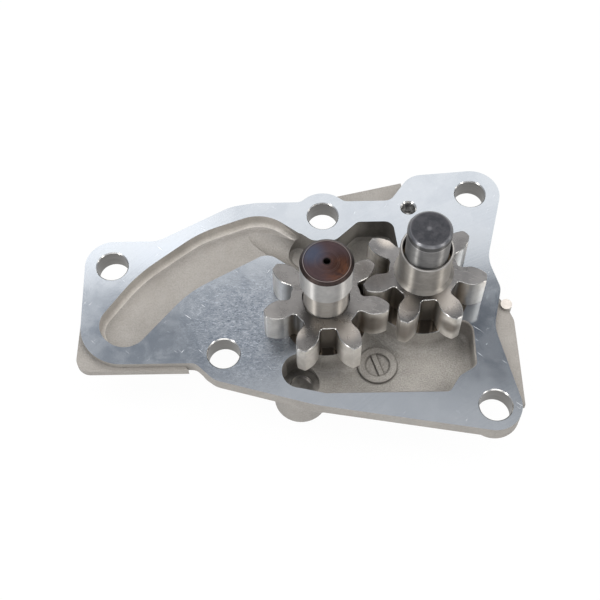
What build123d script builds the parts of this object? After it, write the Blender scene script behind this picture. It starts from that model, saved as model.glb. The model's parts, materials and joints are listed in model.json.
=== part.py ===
from build123d import *
import os
from math import acos, atan2, cos, degrees, radians, sin, sqrt, tan

# Engine oil pump: cover casting with the pump gears, their shafts and the relief valve.
# The origin is the drive shaft's axis on the machined mounting face. +Z leaves the cover
# towards the engine, and the cover lies in X and Y. All sizes are millimetres.

os.makedirs("parts", exist_ok=True)

# Flange of the cover
flange_thickness = 5.8
face_layer = 2.6
lobe_radius = 9.9
corner_margin = 9.3
edge_break = 0.5

# Bolt holes, named by where they lie
left_x, left_y = -75.0, 22.1
middle_x, middle_y = 0.0, 42.0
upper_right_x, upper_right_y = 54.1, 50.6
lower_left_x, lower_left_y = -34.9, -13.1
lower_right_x, lower_right_y = 55.7, -33.7
bolt_hole_radius = 5.5
bolt_boss_radius = 8.8
bolt_hole_length = 7.65
hole_chamfer = 0.35

# Tapped hole for a jacking screw
jack_x, jack_y = 31.3, 45.0
jack_hole_radius = 2.5
jack_chamfer = 0.5
jack_boss_radius = 5.5

# Gears
tooth_count = 7
gear_module = 5.0
centre_distance = gear_module * tooth_count
centre_line_angle = 17.0
pressure_angle = 24.5
tooth_thickness = 7.0
addendum = 3.9
dedendum = 5.75
root_fillet = 1.5
gear_thickness = 14.2
gear_end_clearance = 0.05
gear_chamfer = 0.2
drive_tooth_angle = 92.3
flank_shift = -1.8

# Drive shaft
neck_radius = 7.5
journal_radius = neck_radius + 1.3
journal_top = 38.0
journal_bottom = 26.0
shaft_bottom = -23.0
shaft_chamfer = 0.9
journal_chamfer = 0.4
centre_drill_radius = 1.1
running_clearance = 0.03

# Bore of the drive gear and its key
gear_counterbore_radius = neck_radius + 0.6
gear_counterbore_depth = 3.0
key_width = 4.0
key_radius = 5.0
key_proud = 1.4
key_clearance = 0.05

# Driven gear's hub, bush and fixed pin
pin_radius = 7.3
hub_bore_radius = pin_radius + 0.7
hub_wall = 1.0
hub_radius = hub_bore_radius + hub_wall
hub_top = 28.2
hub_chamfer = 0.35 * hub_wall
hub_blend = 1.2
hub_bush_recess = 5.0
pin_top = 40.0
pin_bottom = -16.0
pin_chamfer = 0.7

# Bosses for the shaft and the pin
shaft_bush_outer = neck_radius + 2.0
drive_boss_radius = shaft_bush_outer + 5.0
drive_boss_bottom = -27.0
driven_boss_outer = pin_radius + 5.2
driven_boss_radius = driven_boss_outer + 4.5
driven_boss_bottom = -20.0
shaft_bush_top = -0.6
shaft_bush_length = 20.0
bore_plug_inset = 0.5
bore_plug_height = 2.6
bore_plug_wall = 1.2

# Front cavity, on the pressure side
front_wall_y = -28.0
front_depth = 10.5
front_right_x = 50.3
land_half_width = 4.0
cavity_floor_round = 2.0
land_floor_round = 3.5
dial_x, dial_y = 17.8, -13.7
dial_radius = 6.8
dial_height = 1.1
dial_recess_radius = 4.4
dial_recess = 0.8
dial_bar_width = 1.7
dial_bar_angle = -72.0

# Rear channel, on the suction side
channel_depth = 5.4
channel_end_x, channel_end_y = -69.2, -1.5
channel_floor_round = 2.2
pocket_depth = 11.5
ramp_radius = 5.5
ramp_start_x, ramp_start_y = -26.5, 37.4
ramp_end_x, ramp_end_y = -4.0, 25.5

# Underside walls
wall = 3.4
floor_wall = 3.6
underside_draft = 14.0
rib_width = 5.0
rib_depth = 11.0
boss_chamfer = 1.2

# Relief valve, in the boss below the corner of the front cavity
valve_x, valve_y = -8.8, -20.0
valve_bore_radius = 5.6
valve_boss_radius = valve_bore_radius + 3.7
valve_boss_bottom = -23.3
valve_port_radius = valve_bore_radius + 0.8
valve_seat_depth = 13.5
valve_seat_thickness = 1.6
valve_throat_radius = 3.9
plunger_length = 4.6
plunger_crown = 1.4
plunger_wall = 1.1
plunger_travel = 2.2
plug_thickness = 2.9
plug_socket_width = 5.0
plug_socket_depth = 1.8
spill_port_radius = 1.4
spill_port_angle = 160.0
seat_gap = 0.02
spring_wire = 0.9
spring_turns = 2.0
spring_clearance = 0.3
spring_end_gap = 0.05

# Cast lug on the right edge
lug_radius = 2.0
lug_top = -1.2

# Derived places
driven_x = centre_distance * cos(radians(centre_line_angle))
driven_y = centre_distance * sin(radians(centre_line_angle))
pitch_radius = centre_distance / 2
tip_radius = pitch_radius + addendum
root_radius = pitch_radius - dedendum
base_radius = pitch_radius * cos(radians(pressure_angle))
tooth_pitch = 360 / tooth_count
driven_tooth_angle = 2 * centre_line_angle + 180 - drive_tooth_angle - tooth_pitch / 2 + flank_shift
flange_bottom = -flange_thickness
plunger_top = -valve_seat_depth - seat_gap
plug_top = valve_boss_bottom + plug_thickness
plunger_inner_radius = valve_bore_radius - running_clearance - plunger_wall
spring_radius = plunger_inner_radius - spring_clearance - spring_wire / 2

bolt_holes = [
    (left_x, left_y),
    (middle_x, middle_y),
    (upper_right_x, upper_right_y),
    (lower_left_x, lower_left_y),
    (lower_right_x, lower_right_y),
]


def involute(angle):
    return tan(angle) - angle


def tooth_half_angle(radius):
    """Half of a tooth's width at a radius, as an angle in radians."""
    at_pitch = tooth_thickness / (2 * pitch_radius) + involute(radians(pressure_angle))
    return at_pitch - involute(acos(min(1.0, base_radius / radius)))


def flank_point(radius, side):
    angle = side * tooth_half_angle(max(radius, base_radius))
    return radius * cos(angle), radius * sin(angle)


# One tooth along +X. Its flank is radial below the base circle, and above it the arc
# through three points of the involute
middle_radius = (base_radius + tip_radius) / 2
with BuildSketch() as tooth:
    with BuildLine():
        Line(flank_point(root_radius * 0.9, -1), flank_point(base_radius, -1))
        ThreePointArc(*[flank_point(radius, -1) for radius in (base_radius, middle_radius, tip_radius)])
        ThreePointArc(flank_point(tip_radius, -1), (tip_radius, 0), flank_point(tip_radius, 1))
        ThreePointArc(*[flank_point(radius, 1) for radius in (tip_radius, middle_radius, base_radius)])
        Line(flank_point(base_radius, 1), flank_point(root_radius * 0.9, 1))
        Line(flank_point(root_radius * 0.9, 1), flank_point(root_radius * 0.9, -1))
    make_face()

with BuildSketch() as gear_outline:
    Circle(root_radius)
    with PolarLocations(0, tooth_count):
        add(tooth.sketch)
    fillet(
        [v for v in gear_outline.vertices() if abs(sqrt(v.X**2 + v.Y**2) - root_radius) < 0.01],
        root_fillet,
    )

# Outlines of the cover's flange, going round from the top left corner
face_corners = [
    (left_x - lobe_radius, left_y + lobe_radius + 0.3, lobe_radius),
    (left_x - corner_margin, lower_left_y - 3.5, 15.0),
    (lower_left_x - 9.6, lower_left_y - 3.5, 4.0),
    (lower_left_x - 3.1, lower_left_y - 9.9, 8.0),
    (valve_x + 4.8, valve_y - 12.7, 60.0),
    (lower_right_x + 11.8, lower_right_y - 11.3, corner_margin),
    (driven_x + 24.6, driven_y - 14.6, 14.0),
    (driven_x + 28.2, driven_y + 0.6, 6.0),
    (driven_x + 24.7, driven_y + 12.5, 14.0),
    (upper_right_x + 14.1, upper_right_y + 11.3, 10.3),
    (jack_x + 1.2, jack_y + 14.1, 8.0),
    (jack_x - 6.4, jack_y + 3.3, 4.0),
    (middle_x - 24.5, middle_y + 6.1, 5.0),
    (middle_x - 33.5, middle_y + 4.6, 16.0),
    (left_x + 15.5, left_y + lobe_radius + 0.3, 10.0),
]
with BuildSketch() as face_outline:
    with BuildLine():
        FilletPolyline(
            [(x, y) for x, y, _ in face_corners],
            radius=[radius for _, _, radius in face_corners],
            close=True,
        )
    make_face()
    with Locations((middle_x, middle_y)):
        Circle(lobe_radius)
    lobe_roots = [
        v for v in face_outline.vertices()
        if abs(sqrt((v.X - middle_x) ** 2 + (v.Y - middle_y) ** 2) - lobe_radius) < 0.01
    ]
    fillet(lobe_roots, 4.0)

# The lower layer is the same outline with the casting's wider webs
with BuildSketch(Plane.XY.offset(-face_layer)) as web_outline:
    add(face_outline.sketch)
    with BuildLine():
        FilletPolyline(
            [
                (left_x - lobe_radius, left_y - 18),
                (left_x - 10.6, lower_left_y - 4.9),
                (lower_left_x - 12, lower_left_y - 4.9),
                (lower_left_x - 20, lower_left_y + 5),
            ],
            radius=[0.0, 5.0, 0.0, 0.0],
            close=True,
        )
    make_face()
    with BuildLine():
        Polyline(
            (middle_x + 2.0, middle_y + lobe_radius - 0.6),
            (jack_x - 2.0, jack_y + 12.6),
            (jack_x, jack_y),
            (middle_x + 2.0, middle_y),
            close=True,
        )
    make_face()
    with BuildLine():
        FilletPolyline(
            [
                (driven_x + 20.0, driven_y - 1.5),
                (driven_x + 27.3, driven_y - 1.5),
                (driven_x + 30.0, driven_y - 5.5),
                (driven_x + 32.0, driven_y - 10.8),
                (driven_x + 32.3, driven_y - 25.0),
                (lower_right_x + corner_margin + 1.0, lower_right_y + 1),
                (lower_right_x, lower_right_y + 1),
            ],
            radius=[0.0, 1.5, 4.0, 5.0, 20.0, 0.0, 0.0],
            close=True,
        )
    make_face()

with BuildPart() as web_layer:
    add(web_outline.sketch)
    extrude(amount=face_layer - flange_thickness)
    chamfer(web_layer.faces().sort_by(Axis.Z)[0].outer_wire().edges(), edge_break)

# Front cavity, open to the valve port at its left end
with BuildSketch() as front_outline:
    with BuildLine():
        FilletPolyline(
            [
                (valve_x - 0.7, valve_y - valve_port_radius + 0.1),
                (valve_x + 6.3, front_wall_y),
                (front_right_x - 9.6, front_wall_y),
                (front_right_x - 6.0, front_wall_y + 5.6),
                (front_right_x, front_wall_y + 9.3),
                (front_right_x, driven_y - 12.2),
                (driven_x, driven_y - 12.2),
                (0, 0),
                (valve_x - 0.7, valve_y + 4),
            ],
            radius=[0.0, 0.0, 1.5, 3.0, 2.5, 4.0, 0.0, 0.0, 0.0],
            close=True,
        )
    make_face()
    Circle(drive_boss_radius, mode=Mode.SUBTRACT)
    with Locations((driven_x, driven_y)):
        Circle(driven_boss_radius, mode=Mode.SUBTRACT)
    with Locations(Location((driven_x / 2, driven_y / 2), centre_line_angle)):
        Rectangle(centre_distance, 2 * land_half_width, mode=Mode.SUBTRACT)

with BuildPart() as front_cavity:
    add(front_outline.sketch)
    extrude(amount=-front_depth)
    fillet(front_cavity.faces().sort_by(Axis.Z)[0].edges(), cavity_floor_round)
    # Larger rounds at the feet of the lands
    for land_x, land_y, land_radius in [
        (0, 0, drive_boss_radius),
        (driven_x, driven_y, driven_boss_radius),
    ]:
        foot_plane = Plane(origin=(land_x, land_y, -front_depth), x_dir=(1, 0, 0), z_dir=(0, -1, 0))
        foot_curve = [
            (
                land_radius + land_floor_round * (1 - cos(radians(turn))),
                land_floor_round * (1 - sin(radians(turn))),
            )
            for turn in (0, 30, 60, 90)
        ]
        with BuildSketch(foot_plane):
            with BuildLine():
                Polyline(
                    (land_radius - 1, -1),
                    (land_radius - 1, land_floor_round),
                    *foot_curve,
                    (land_radius + land_floor_round, -1),
                    close=True,
                )
            make_face()
        revolve(axis=Axis((land_x, land_y, 0), (0, 0, 1)), mode=Mode.SUBTRACT)

# Shallow arm of the rear channel, from its round end to the drive shaft's boss
with BuildSketch() as arm_outline:
    with BuildLine():
        FilletPolyline(
            [
                (channel_end_x - 11.8, channel_end_y - 1.4),
                (-66.0, 18.5),
                (-44.5, 35.6),
                (-21.3, 44.2),
                (-3.0, 30.5),
                (0, 12.0),
                (-3.0, 14.0),
                (-19.9, 26.7),
                (-47.4, 11.2),
                (channel_end_x + 1.4, channel_end_y - 11.8),
            ],
            radius=[8.2, 53.0, 40.0, 14.5, 0.0, 0.0, 0.0, 5.8, 38.0, 8.2],
            close=True,
        )
    make_face()

with BuildPart() as channel_arm:
    add(arm_outline.sketch)
    extrude(amount=-channel_depth)
    arm_floor = channel_arm.faces().sort_by(Axis.Z)[0]
    fillet([edge for edge in arm_floor.edges() if edge.center().X < -3.0], channel_floor_round)

# Deep pocket, from the arm past the middle bolt to the teeth of the driven gear
with BuildSketch() as pocket_outline:
    with BuildLine():
        FilletPolyline(
            [
                (-11.0, 37.0),
                (middle_x - 4.0, middle_y - 10.4),
                (middle_x + 4.4, middle_y - 10.4),
                (middle_x + 12.6, middle_y - 2.7),
                (driven_x - 8.2, middle_y - 2.7),
                (driven_x - 6.2, driven_y + 12.0),
                (driven_x - 8.0, driven_y + 2.0),
                (4.0, 6.0),
                (-5.5, 22.5),
                (-13.0, 29.5),
            ],
            radius=[3.0, 4.0, 4.0, 3.0, 3.5, 2.0, 2.0, 2.0, 8.0, 4.0],
            close=True,
        )
    make_face()

with BuildPart() as channel_pocket:
    add(pocket_outline.sketch)
    extrude(amount=-pocket_depth)
    chamfer(channel_pocket.faces().sort_by(Axis.Z)[0].edges(), 1.2)

# Rounded ramp that leads the arm's floor down into the pocket
ramp_floor = Vector(ramp_start_x, ramp_start_y, -channel_depth)
ramp_direction = Vector(ramp_end_x, ramp_end_y, -pocket_depth) - ramp_floor
with BuildPart() as channel_ramp:
    add(arm_outline.sketch)
    extrude(amount=-pocket_depth)
    with BuildSketch(Plane(origin=ramp_floor + Vector(0, 0, ramp_radius), z_dir=ramp_direction)):
        Circle(ramp_radius)
    extrude(amount=ramp_direction.length, mode=Mode.INTERSECT)

# Cover casting
with BuildPart() as pump_cover:
    add(face_outline.sketch)
    extrude(amount=-face_layer)
    add(web_layer.part)
    # Walls of the cavities on the underside
    with BuildSketch(Plane.XY.offset(flange_bottom)):
        add(front_outline.sketch)
        offset(amount=wall, kind=Kind.ARC)
    extrude(amount=-(front_depth + floor_wall - flange_thickness), taper=underside_draft)
    with BuildSketch(Plane.XY.offset(flange_bottom)):
        add(arm_outline.sketch)
        offset(amount=wall, kind=Kind.ARC)
    extrude(amount=-(channel_depth + floor_wall - flange_thickness), taper=underside_draft)
    with BuildSketch(Plane.XY.offset(flange_bottom)):
        add(pocket_outline.sketch)
        offset(amount=wall, kind=Kind.ARC)
        with Locations((ramp_start_x + 8.0, ramp_start_y - 3.5)):
            Circle(ramp_radius + wall)
    extrude(amount=-(pocket_depth + floor_wall - flange_thickness))
    # Bosses
    with BuildSketch(Plane.XY.offset(flange_bottom)):
        with Locations(*bolt_holes):
            Circle(bolt_boss_radius)
        with Locations((jack_x, jack_y)):
            Circle(jack_boss_radius)
    extrude(amount=flange_thickness - bolt_hole_length)
    with BuildSketch():
        Circle(drive_boss_radius)
    extrude(amount=drive_boss_bottom)
    with BuildSketch():
        with Locations((driven_x, driven_y)):
            Circle(driven_boss_outer)
    extrude(amount=driven_boss_bottom)
    with BuildSketch():
        with Locations((valve_x, valve_y)):
            Circle(valve_boss_radius)
    extrude(amount=valve_boss_bottom)
    # Ribs from the bearing bosses to the bolts
    for start, end in [
        ((0, 0), (lower_left_x, lower_left_y)),
        ((driven_x, driven_y), (upper_right_x, upper_right_y)),
        ((driven_x, driven_y), (lower_right_x, lower_right_y)),
    ]:
        rib_length = sqrt((end[0] - start[0]) ** 2 + (end[1] - start[1]) ** 2)
        rib_angle = degrees(atan2(end[1] - start[1], end[0] - start[0]))
        with BuildSketch(Plane.XY.offset(flange_bottom)):
            with Locations(Location(((start[0] + end[0]) / 2, (start[1] + end[1]) / 2), rib_angle)):
                Rectangle(rib_length, rib_width)
        extrude(amount=flange_thickness - rib_depth)
    # Seats for the bolt heads
    with BuildSketch(Plane.XY.offset(-bolt_hole_length)):
        with Locations(*bolt_holes):
            Circle(bolt_boss_radius)
    extrude(amount=drive_boss_bottom, mode=Mode.SUBTRACT)
    # Cavities
    add(front_cavity.part, mode=Mode.SUBTRACT)
    add(channel_arm.part, mode=Mode.SUBTRACT)
    add(channel_ramp.part, mode=Mode.SUBTRACT)
    add(channel_pocket.part, mode=Mode.SUBTRACT)
    # Lands that the gears run on, which stand in the cavities up to the mounting face
    with BuildSketch():
        Circle(drive_boss_radius)
        with Locations((driven_x, driven_y)):
            Circle(driven_boss_radius)
        with Locations(Location((driven_x / 2, driven_y / 2), centre_line_angle)):
            Rectangle(centre_distance, 2 * land_half_width)
    extrude(amount=-pocket_depth)
    # Date dial on the floor of the front cavity, with a plain bar for its pointer
    with BuildSketch(Plane.XY.offset(-front_depth)):
        with Locations((dial_x, dial_y)):
            Circle(dial_radius)
    extrude(amount=dial_height)
    with BuildSketch(Plane.XY.offset(dial_height - front_depth)):
        with Locations((dial_x, dial_y)):
            Circle(dial_recess_radius)
        with Locations(Location((dial_x, dial_y), dial_bar_angle)):
            Rectangle(2 * dial_recess_radius, dial_bar_width, mode=Mode.SUBTRACT)
    extrude(amount=-dial_recess, mode=Mode.SUBTRACT)
    # Lug on the right edge
    with BuildSketch(Plane.XY.offset(lug_top)):
        with Locations((driven_x + 29.7, driven_y - 5.2)):
            Circle(lug_radius)
    extrude(amount=flange_bottom + edge_break - lug_top)
    # Holes
    with BuildSketch():
        with Locations(*bolt_holes):
            Circle(bolt_hole_radius)
        with Locations((jack_x, jack_y)):
            Circle(jack_hole_radius)
    extrude(amount=-2 * bolt_hole_length, mode=Mode.SUBTRACT)
    with BuildSketch():
        Circle(shaft_bush_outer)
    extrude(amount=2 * drive_boss_bottom, mode=Mode.SUBTRACT)
    with BuildSketch():
        with Locations((driven_x, driven_y)):
            Circle(pin_radius)
    extrude(amount=pin_bottom, mode=Mode.SUBTRACT)
    with BuildSketch():
        with Locations((valve_x, valve_y)):
            Circle(valve_port_radius)
    extrude(amount=-valve_seat_depth, mode=Mode.SUBTRACT)
    with BuildSketch():
        with Locations((valve_x, valve_y)):
            Circle(valve_bore_radius)
    extrude(amount=2 * valve_boss_bottom, mode=Mode.SUBTRACT)
    # Spill port through the side of the valve boss, covered by the closed plunger
    with BuildSketch(
        Plane(
            origin=(valve_x, valve_y, plunger_top - plunger_travel),
            z_dir=(cos(radians(spill_port_angle)), sin(radians(spill_port_angle)), 0),
        )
    ):
        Circle(spill_port_radius)
    extrude(amount=2 * valve_boss_radius, mode=Mode.SUBTRACT)
    # Broken edges
    top_edges = pump_cover.faces().filter_by(Plane.XY).sort_by(Axis.Z)[-1].edges()
    top_circles = top_edges.filter_by(GeomType.CIRCLE)
    chamfer([e for e in top_circles if abs(e.radius - bolt_hole_radius) < 0.01], hole_chamfer)
    chamfer([e for e in top_circles if abs(e.radius - jack_hole_radius) < 0.01], jack_chamfer)
    boss_edges = pump_cover.edges().filter_by(GeomType.CIRCLE)
    chamfer(
        [
            e for e in boss_edges
            if abs(e.radius - valve_boss_radius) < 0.01 and abs(e.center().Z - valve_boss_bottom) < 0.01
        ],
        boss_chamfer,
    )

# Bush of the drive shaft, pressed into the cover
with BuildPart() as shaft_bush:
    with BuildSketch(Plane.XY.offset(shaft_bush_top)):
        Circle(shaft_bush_outer)
        Circle(neck_radius + running_clearance, mode=Mode.SUBTRACT)
    extrude(amount=-shaft_bush_length)

# Cup plug that closes the end of the shaft's bore
with BuildPart() as shaft_bore_plug:
    with BuildSketch(Plane.XY.offset(drive_boss_bottom + bore_plug_inset)):
        Circle(shaft_bush_outer)
    extrude(amount=bore_plug_height)
    with BuildSketch(Plane.XY.offset(drive_boss_bottom + bore_plug_inset)):
        Circle(shaft_bush_outer - bore_plug_wall)
    extrude(amount=bore_plug_height - bore_plug_wall, mode=Mode.SUBTRACT)

# Drive shaft, turned all over, with its keyseat on the far side of the gear
with BuildPart() as drive_shaft:
    with BuildSketch(Plane.XZ):
        with BuildLine():
            Polyline(
                (0, shaft_bottom),
                (neck_radius - shaft_chamfer, shaft_bottom),
                (neck_radius, shaft_bottom + shaft_chamfer),
                (neck_radius, journal_bottom),
                (journal_radius - journal_chamfer, journal_bottom),
                (journal_radius, journal_bottom + journal_chamfer),
                (journal_radius, journal_top - shaft_chamfer),
                (journal_radius - shaft_chamfer, journal_top),
                (centre_drill_radius, journal_top),
                (0, journal_top - centre_drill_radius * sqrt(3)),
                close=True,
            )
        make_face()
    revolve(axis=Axis.Z)
    with BuildSketch(Plane.YZ.offset(-key_width / 2)):
        with Locations((neck_radius + key_proud, gear_thickness / 2)):
            Circle(key_radius)
    extrude(amount=key_width, mode=Mode.SUBTRACT)

# Half-round key between the shaft and the drive gear
with BuildPart() as drive_key:
    with BuildSketch(Plane.YZ.offset(-key_width / 2)):
        with Locations((neck_radius + key_proud, gear_thickness / 2)):
            Circle(key_radius)
            with Locations((key_radius, 0)):
                Rectangle(2 * key_radius, 2 * key_radius, mode=Mode.SUBTRACT)
    extrude(amount=key_width)

# Drive gear
with BuildPart() as drive_gear:
    with BuildSketch(Plane.XY.offset(gear_end_clearance)):
        with Locations(Location((0, 0), drive_tooth_angle)):
            add(gear_outline.sketch)
        Circle(neck_radius, mode=Mode.SUBTRACT)
        with Locations((0, (neck_radius + key_proud + key_clearance) / 2)):
            Rectangle(key_width, neck_radius + key_proud + key_clearance, mode=Mode.SUBTRACT)
    extrude(amount=gear_thickness - gear_end_clearance)
    with BuildSketch(Plane.XY.offset(gear_thickness)):
        Circle(gear_counterbore_radius)
    extrude(amount=-gear_counterbore_depth, mode=Mode.SUBTRACT)
    chamfer(drive_gear.faces().sort_by(Axis.Z)[-1].outer_wire().edges(), gear_chamfer)

# Driven gear with the hub that it is made in one piece with
with BuildPart() as driven_gear:
    with BuildSketch(Plane.XY.offset(gear_end_clearance)):
        with Locations(Location((driven_x, driven_y), driven_tooth_angle)):
            add(gear_outline.sketch)
    extrude(amount=gear_thickness - gear_end_clearance)
    chamfer(driven_gear.faces().sort_by(Axis.Z)[-1].outer_wire().edges(), gear_chamfer)
    with BuildSketch(Plane.XY.offset(gear_thickness)):
        with Locations((driven_x, driven_y)):
            Circle(hub_radius)
    extrude(amount=hub_top - gear_thickness)
    hub_rings = driven_gear.edges().filter_by(GeomType.CIRCLE)
    chamfer(
        [
            e for e in hub_rings
            if e.is_closed and abs(e.radius - hub_radius) < 0.01 and abs(e.center().Z - gear_thickness) < 0.01
        ],
        hub_blend,
    )
    with BuildSketch():
        with Locations((driven_x, driven_y)):
            Circle(hub_bore_radius)
    extrude(amount=2 * hub_top, mode=Mode.SUBTRACT)
    chamfer(driven_gear.faces().sort_by(Axis.Z)[-1].edges(), hub_chamfer)

# Bush pressed into the driven gear, below the mouth of the hub
with BuildPart() as driven_bush:
    with BuildSketch(Plane.XY.offset(gear_end_clearance)):
        with Locations((driven_x, driven_y)):
            Circle(hub_bore_radius)
            Circle(pin_radius + running_clearance, mode=Mode.SUBTRACT)
    extrude(amount=hub_top - hub_bush_recess - gear_end_clearance)

# Fixed pin that the driven gear turns on, pressed into the cover
with BuildPart() as driven_pin:
    with BuildSketch(Plane.XY.offset(pin_bottom)):
        with Locations((driven_x, driven_y)):
            Circle(pin_radius)
    extrude(amount=pin_top - pin_bottom)
    chamfer(driven_pin.faces().sort_by(Axis.Z)[-1].edges(), pin_chamfer)

# Relief valve: seat ring, plunger, spring and plug
with BuildPart() as relief_seat:
    with BuildSketch(Plane.XY.offset(-valve_seat_depth)):
        with Locations((valve_x, valve_y)):
            Circle(valve_port_radius)
            Circle(valve_throat_radius, mode=Mode.SUBTRACT)
    extrude(amount=valve_seat_thickness)

with BuildPart() as relief_plunger:
    with BuildSketch(Plane.XY.offset(plunger_top)):
        with Locations((valve_x, valve_y)):
            Circle(valve_bore_radius - running_clearance)
    extrude(amount=-plunger_length)
    with BuildSketch(Plane.XY.offset(plunger_top - plunger_crown)):
        with Locations((valve_x, valve_y)):
            Circle(plunger_inner_radius)
    extrude(amount=-plunger_length, mode=Mode.SUBTRACT)

spring_bottom = plug_top + spring_end_gap + spring_wire / 2
spring_height = plunger_top - plunger_crown - spring_end_gap - spring_wire / 2 - spring_bottom
with BuildPart() as relief_spring:
    with BuildLine():
        spring_path = Helix(
            pitch=spring_height / spring_turns,
            height=spring_height,
            radius=spring_radius,
            center=(valve_x, valve_y, spring_bottom),
        )
    with BuildSketch(Plane(origin=spring_path @ 0, z_dir=spring_path % 0)):
        RegularPolygon(spring_wire / 2, 6)
    sweep(path=spring_path)

with BuildPart() as relief_plug:
    with BuildSketch(Plane.XY.offset(valve_boss_bottom)):
        with Locations((valve_x, valve_y)):
            Circle(valve_bore_radius)
    extrude(amount=plug_thickness)
    with BuildSketch(Plane.XY.offset(valve_boss_bottom)):
        with Locations((valve_x, valve_y)):
            RegularPolygon(plug_socket_width / 2, 6, major_radius=False)
    extrude(amount=plug_socket_depth, mode=Mode.SUBTRACT)

pieces = {
    "pump_cover": pump_cover,
    "shaft_bush": shaft_bush,
    "shaft_bore_plug": shaft_bore_plug,
    "drive_shaft": drive_shaft,
    "drive_key": drive_key,
    "drive_gear": drive_gear,
    "driven_gear": driven_gear,
    "driven_bush": driven_bush,
    "driven_pin": driven_pin,
    "relief_seat": relief_seat,
    "relief_plunger": relief_plunger,
    "relief_spring": relief_spring,
    "relief_plug": relief_plug,
}
for name, piece in pieces.items():
    piece.part.label = name
    export_step(piece.part, f"parts/{name}.step")
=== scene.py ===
import json
from math import cos, hypot, radians, sin

import bmesh
import bpy
from mathutils import Matrix, Vector


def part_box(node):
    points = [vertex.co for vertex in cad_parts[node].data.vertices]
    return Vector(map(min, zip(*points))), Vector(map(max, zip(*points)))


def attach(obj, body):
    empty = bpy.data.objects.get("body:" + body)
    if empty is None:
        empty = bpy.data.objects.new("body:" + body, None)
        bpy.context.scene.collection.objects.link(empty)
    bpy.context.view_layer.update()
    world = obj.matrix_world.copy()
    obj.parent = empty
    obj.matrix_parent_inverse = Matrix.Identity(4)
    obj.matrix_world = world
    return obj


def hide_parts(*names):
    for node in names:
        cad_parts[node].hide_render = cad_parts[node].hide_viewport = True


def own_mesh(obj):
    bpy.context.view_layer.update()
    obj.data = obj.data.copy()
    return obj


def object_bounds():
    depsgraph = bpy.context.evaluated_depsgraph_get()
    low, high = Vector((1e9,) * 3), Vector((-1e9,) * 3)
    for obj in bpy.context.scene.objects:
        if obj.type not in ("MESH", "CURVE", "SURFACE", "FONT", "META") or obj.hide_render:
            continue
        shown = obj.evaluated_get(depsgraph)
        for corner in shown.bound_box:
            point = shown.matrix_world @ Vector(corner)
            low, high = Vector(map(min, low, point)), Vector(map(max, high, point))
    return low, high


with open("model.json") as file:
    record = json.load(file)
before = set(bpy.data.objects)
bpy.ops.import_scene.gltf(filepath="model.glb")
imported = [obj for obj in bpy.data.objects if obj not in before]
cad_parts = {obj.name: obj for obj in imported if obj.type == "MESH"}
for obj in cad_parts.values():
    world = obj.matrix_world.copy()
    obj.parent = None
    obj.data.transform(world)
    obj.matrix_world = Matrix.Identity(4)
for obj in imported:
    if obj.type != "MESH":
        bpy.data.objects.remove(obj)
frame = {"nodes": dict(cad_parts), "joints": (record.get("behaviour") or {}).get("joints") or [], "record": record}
cad_low, cad_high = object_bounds()

MM = 0.001
RECORD = frame["record"]
BODY_OF = {
    node: body for body, nodes in RECORD["behaviour"]["bodies"].items() for node in nodes
}
MOUNTS = {mount["name"]: mount for mount in RECORD["mounts"]}
JOINTS = {joint["name"]: joint for joint in frame["joints"]}

# Places on the pump, in metres. The flange's face lies at z = 0, and the drive shaft's axis is Z.
DRIVE_AXIS = Vector((0.0, 0.0, 0.0))
DRIVEN_AXIS = Vector(JOINTS["driven_spin"]["pos_m"])
BOLT_HOLES = [Vector(m["pos_m"]) for name, m in MOUNTS.items() if name.startswith("bolt_hole")]
JACK_HOLE = Vector(MOUNTS["jacking_hole"]["pos_m"])
VALVE_PORT = Vector((-0.0088, -0.0200, 0.0))
LUG_SPOT = Vector((0.0632, 0.0050, 0.0))
DIAL = (0.0178, -0.0137, -0.0100)
DIAL_BAR_TURN = radians(72.0)

# How far from its axis each round wall or land reaches
BOLT_HOLE_RADIUS = MOUNTS["bolt_hole_left"]["dims"]["r_mm"] * MM
BOLT_BOSS_REACH = 0.0070
JACK_HOLE_REACH = MOUNTS["jacking_hole"]["dims"]["r_mm"] * MM + 0.00052
VALVE_PORT_REACH = 0.0066
LUG_SPOT_REACH = 0.0022
SHAFT_BORE_REACH = 0.0096
PIN_BORE_REACH = 0.0074
DRIVE_LAND_REACH = 0.0142
DRIVEN_LAND_REACH = 0.0166
DRIVE_GEAR_BORE_REACH = 0.0091
DRIVEN_GEAR_BORE_REACH = 0.00805
HUB_REACH = 0.0104
CENTRE_MARK_REACH = 0.0012

# Heights, and depths of the chamfers below them
SHAFT_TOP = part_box("drive_shaft")[1].z
PIN_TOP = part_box("driven_pin")[1].z
GEAR_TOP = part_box("drive_gear")[1].z
HUB_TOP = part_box("driven_gear")[1].z
HUB_FOOT = GEAR_TOP + 0.00005
HUB_BLEND_TOP = GEAR_TOP + 0.0016
JOURNAL_FOOT = 0.0262
CENTRE_MARK_FOOT = 0.0300
FLOOR_Z = cad_low.z
BOLT_HOLE_FOOT = -0.0078
VALVE_PORT_TOP = -0.0128
SHAFT_CHAMFER_DEPTH = 0.00091
PIN_CHAMFER_DEPTH = 0.0008
GEAR_CHAMFER_DEPTH = 0.0004
BOLT_HOLE_CHAMFER_DEPTH = 0.0004
JACK_HOLE_CHAMFER_DEPTH = 0.0006

# Boxes round the pocket and the pressure cavity, each from its lowest to its highest corner
POCKET_BOX = ((0.004, 0.013, -0.0119), (0.036, 0.0405, -0.0003))
CAVITY_BOX = ((-0.016, -0.0285, -0.0125), (0.0507, 0.013, -0.0003))

# The suction channel behind the flange's left arm
CHANNEL_LEFT, CHANNEL_MOUTH = -0.075, -0.010
CHANNEL_FRONT, CHANNEL_BACK = -0.012, 0.0455
CHANNEL_WALL_FOOT, CHANNEL_WALL_TOP = -0.0054, -0.0005
CHANNEL_WALL_END = -0.012


# ---------------------------------------------------------------- node tools


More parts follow.
